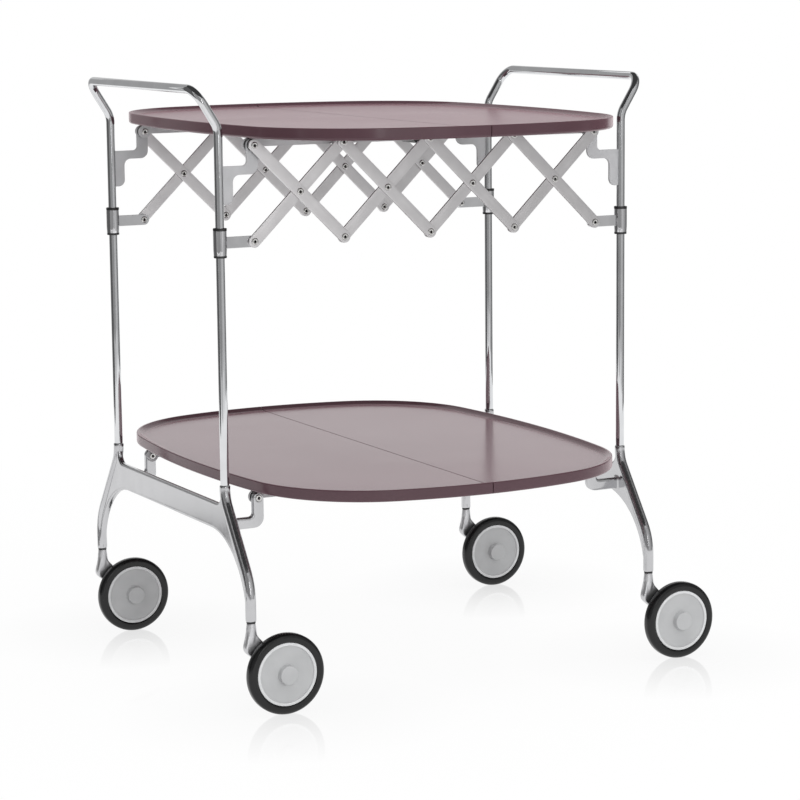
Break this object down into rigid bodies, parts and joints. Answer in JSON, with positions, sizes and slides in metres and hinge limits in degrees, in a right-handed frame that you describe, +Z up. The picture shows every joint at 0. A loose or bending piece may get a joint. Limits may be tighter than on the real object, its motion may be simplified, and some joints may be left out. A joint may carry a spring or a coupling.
{
  "type": "folding serving trolley",
  "caption": "Folding serving trolley: chromed tube end frames with handles and castors, joined by scissor linkages and seam-hinged lipped trays that rise as the frames close together.",
  "frame": {"origin": "on the floor, at the middle of the trolley's box", "axes": "+Z up, +Y along the seam towards the back of the picture, +X across the seam to the right"},
  "size_m": [0.6355, 0.63, 0.7],
  "materials": {
    "chromed_tube": "polished chrome plate",
    "cast_frame": "satin polished die casting",
    "grey_brackets": "satin light grey paint",
    "cast_collars": "satin die casting",
    "cast_castors": "polished die casting",
    "satin_bars": "satin plated strip",
    "rivet_steel": "bright plated eyelets",
    "grey_rails": "satin grey strip",
    "plum_tray": "satin moulded plum plastic",
    "black_plastic": "matt moulded black plastic",
    "rubber_tyre": "satin moulded rubber",
    "grey_disc": "satin moulded grey plastic"
  },
  "bodies": {
    "left_frame": {"left_handle_tube": "chromed_tube", "left_leg_frame": "cast_frame", "left_upper_brackets": "grey_brackets", "left_tray_pins": "rivet_steel", "left_pivot_spacers": "black_plastic"},
    "right_frame": {"right_handle_tube": "chromed_tube", "right_leg_frame": "cast_frame", "right_upper_brackets": "grey_brackets", "right_tray_pins": "rivet_steel", "right_pivot_spacers": "black_plastic"},
    "upper_left_leaf": {"upper_left_tray": "plum_tray", "upper_left_rails": "grey_rails", "upper_left_hinge_leaves": "black_plastic", "upper_hinge_pins": "rivet_steel"},
    "upper_right_leaf": {"upper_right_tray": "plum_tray", "upper_right_rails": "grey_rails", "upper_right_hinge_leaves": "black_plastic"},
    "lower_left_leaf": {"lower_left_tray": "plum_tray", "lower_left_rails": "grey_rails", "lower_left_hinge_leaves": "black_plastic", "lower_hinge_pins": "rivet_steel"},
    "lower_right_leaf": {"lower_right_tray": "plum_tray", "lower_right_rails": "grey_rails", "lower_right_hinge_leaves": "black_plastic"},
    "scissor_a1": {"scissor_bars_a1": "satin_bars"},
    "scissor_a2": {"scissor_bars_a2": "satin_bars", "rivets_a2": "rivet_steel"},
    "scissor_a3": {"scissor_bars_a3": "satin_bars", "rivets_a3": "rivet_steel"},
    "scissor_a4": {"scissor_bars_a4": "satin_bars", "rivets_a4": "rivet_steel"},
    "scissor_b1": {"scissor_bars_b1": "satin_bars", "rivets_b1": "rivet_steel"},
    "scissor_b2": {"scissor_bars_b2": "satin_bars", "rivets_b2": "rivet_steel"},
    "scissor_b3": {"scissor_bars_b3": "satin_bars", "rivets_b3": "rivet_steel"},
    "scissor_b4": {"scissor_bars_b4": "satin_bars"},
    "left_slider": {"left_collars": "cast_collars", "left_collar_bushes": "black_plastic"},
    "right_slider": {"right_collars": "cast_collars", "right_collar_bushes": "black_plastic"},
    "front_left_castor": {"front_left_castor_arm": "cast_castors", "front_left_castor_pins": "rivet_steel"},
    "front_left_wheel": {"front_left_tyre": "rubber_tyre", "front_left_wheel_disc": "grey_disc"},
    "rear_left_castor": {"rear_left_castor_arm": "cast_castors", "rear_left_castor_pins": "rivet_steel"},
    "rear_left_wheel": {"rear_left_tyre": "rubber_tyre", "rear_left_wheel_disc": "grey_disc"},
    "front_right_castor": {"front_right_castor_arm": "cast_castors", "front_right_castor_pins": "rivet_steel"},
    "front_right_wheel": {"front_right_tyre": "rubber_tyre", "front_right_wheel_disc": "grey_disc"},
    "rear_right_castor": {"rear_right_castor_arm": "cast_castors", "rear_right_castor_pins": "rivet_steel"},
    "rear_right_wheel": {"rear_right_tyre": "rubber_tyre", "rear_right_wheel_disc": "grey_disc"}
  },
  "joints": [
    {"name": "fold", "type": "hinge", "parent": "left_frame", "child": "upper_left_leaf", "pos_m": [-0.24535, 0, 0.632], "axis": [0, -1, 0], "range_deg": [0, 76]},
    {"name": "upper_seam_hinge", "type": "hinge", "parent": "upper_left_leaf", "child": "upper_right_leaf", "pos_m": [-0.02475, 0, 0.632], "axis": [0, -1, 0], "range_deg": [-152, 0]},
    {"name": "right_frame_pivot", "type": "hinge", "parent": "upper_right_leaf", "child": "right_frame", "pos_m": [0.19585, 0, 0.632], "axis": [0, -1, 0], "range_deg": [0, 76]},
    {"name": "lower_left_pivot", "type": "hinge", "parent": "left_frame", "child": "lower_left_leaf", "pos_m": [-0.24535, 0, 0.233], "axis": [0, -1, 0], "range_deg": [0, 76]},
    {"name": "lower_right_pivot", "type": "hinge", "parent": "right_frame", "child": "lower_right_leaf", "pos_m": [0.19585, 0, 0.233], "axis": [0, -1, 0], "range_deg": [-76, 0]},
    {"name": "scissor_a1_pivot", "type": "hinge", "parent": "left_frame", "child": "scissor_a1", "pos_m": [-0.24535, 0, 0.632], "axis": [0, -1, 0], "range_deg": [-35.78, 0]},
    {"name": "scissor_b1_pivot", "type": "hinge", "parent": "scissor_a1", "child": "scissor_b1", "pos_m": [-0.1902, 0, 0.5783], "axis": [0, -1, 0], "range_deg": [0, 71.56]},
    {"name": "left_slider_pivot", "type": "hinge", "parent": "scissor_b1", "child": "left_slider", "pos_m": [-0.24535, 0, 0.5246], "axis": [0, -1, 0], "range_deg": [-35.78, 0]},
    {"name": "scissor_b2_pivot", "type": "hinge", "parent": "scissor_a1", "child": "scissor_b2", "pos_m": [-0.13505, 0, 0.5246], "axis": [0, -1, 0], "range_deg": [0, 71.56]},
    {"name": "scissor_a2_pivot", "type": "hinge", "parent": "scissor_b1", "child": "scissor_a2", "pos_m": [-0.13505, 0, 0.632], "axis": [0, -1, 0], "range_deg": [-71.56, 0]},
    {"name": "scissor_b4_pivot", "type": "hinge", "parent": "right_frame", "child": "scissor_b4", "pos_m": [0.19585, 0, 0.632], "axis": [0, -1, 0], "range_deg": [0, 35.78]},
    {"name": "scissor_a4_pivot", "type": "hinge", "parent": "scissor_b4", "child": "scissor_a4", "pos_m": [0.1407, 0, 0.5783], "axis": [0, -1, 0], "range_deg": [-71.56, 0]},
    {"name": "right_slider_pivot", "type": "hinge", "parent": "scissor_a4", "child": "right_slider", "pos_m": [0.19585, 0, 0.5246], "axis": [0, -1, 0], "range_deg": [0, 35.78]},
    {"name": "scissor_a3_pivot", "type": "hinge", "parent": "scissor_b4", "child": "scissor_a3", "pos_m": [0.08555, 0, 0.5246], "axis": [0, -1, 0], "range_deg": [-71.56, 0]},
    {"name": "scissor_b3_pivot", "type": "hinge", "parent": "scissor_a4", "child": "scissor_b3", "pos_m": [0.08555, 0, 0.632], "axis": [0, -1, 0], "range_deg": [0, 71.56]},
    {"name": "front_left_swivel", "type": "hinge", "parent": "left_frame", "child": "front_left_castor", "pos_m": [-0.28575, -0.228, 0.1056], "axis": [0, 0, 1], "continuous": true},
    {"name": "front_left_wheel_spin", "type": "hinge", "parent": "front_left_castor", "child": "front_left_wheel", "pos_m": [-0.25075, -0.241, 0.0465], "axis": [0, 1, 0], "continuous": true},
    {"name": "rear_left_swivel", "type": "hinge", "parent": "left_frame", "child": "rear_left_castor", "pos_m": [-0.28575, 0.228, 0.1056], "axis": [0, 0, 1], "continuous": true},
    {"name": "rear_left_wheel_spin", "type": "hinge", "parent": "rear_left_castor", "child": "rear_left_wheel", "pos_m": [-0.25075, 0.215, 0.0465], "axis": [0, 1, 0], "continuous": true},
    {"name": "front_right_swivel", "type": "hinge", "parent": "right_frame", "child": "front_right_castor", "pos_m": [0.23625, -0.228, 0.1056], "axis": [0, 0, 1], "continuous": true},
    {"name": "front_right_wheel_spin", "type": "hinge", "parent": "front_right_castor", "child": "front_right_wheel", "pos_m": [0.27125, -0.241, 0.0465], "axis": [0, 1, 0], "continuous": true},
    {"name": "rear_right_swivel", "type": "hinge", "parent": "right_frame", "child": "rear_right_castor", "pos_m": [0.23625, 0.228, 0.1056], "axis": [0, 0, 1], "continuous": true},
    {"name": "rear_right_wheel_spin", "type": "hinge", "parent": "rear_right_castor", "child": "rear_right_wheel", "pos_m": [0.27125, 0.215, 0.0465], "axis": [0, 1, 0], "continuous": true}
  ],
  "couplings": [
    {"joint": "upper_seam_hinge", "follows": "fold", "ratio": -2},
    {"joint": "right_frame_pivot", "follows": "fold", "ratio": 1},
    {"joint": "lower_left_pivot", "follows": "fold", "ratio": 1},
    {"joint": "lower_right_pivot", "follows": "fold", "ratio": -1},
    {"joint": "scissor_a1_pivot", "follows": "fold", "ratio": -0.47081},
    {"joint": "scissor_b1_pivot", "follows": "fold", "ratio": 0.94163},
    {"joint": "left_slider_pivot", "follows": "fold", "ratio": -0.47081},
    {"joint": "scissor_b2_pivot", "follows": "fold", "ratio": 0.94163},
    {"joint": "scissor_a2_pivot", "follows": "fold", "ratio": -0.94163},
    {"joint": "scissor_b4_pivot", "follows": "fold", "ratio": 0.47081},
    {"joint": "scissor_a4_pivot", "follows": "fold", "ratio": -0.94163},
    {"joint": "right_slider_pivot", "follows": "fold", "ratio": 0.47081},
    {"joint": "scissor_a3_pivot", "follows": "fold", "ratio": -0.94163},
    {"joint": "scissor_b3_pivot", "follows": "fold", "ratio": 0.94163}
  ]
}
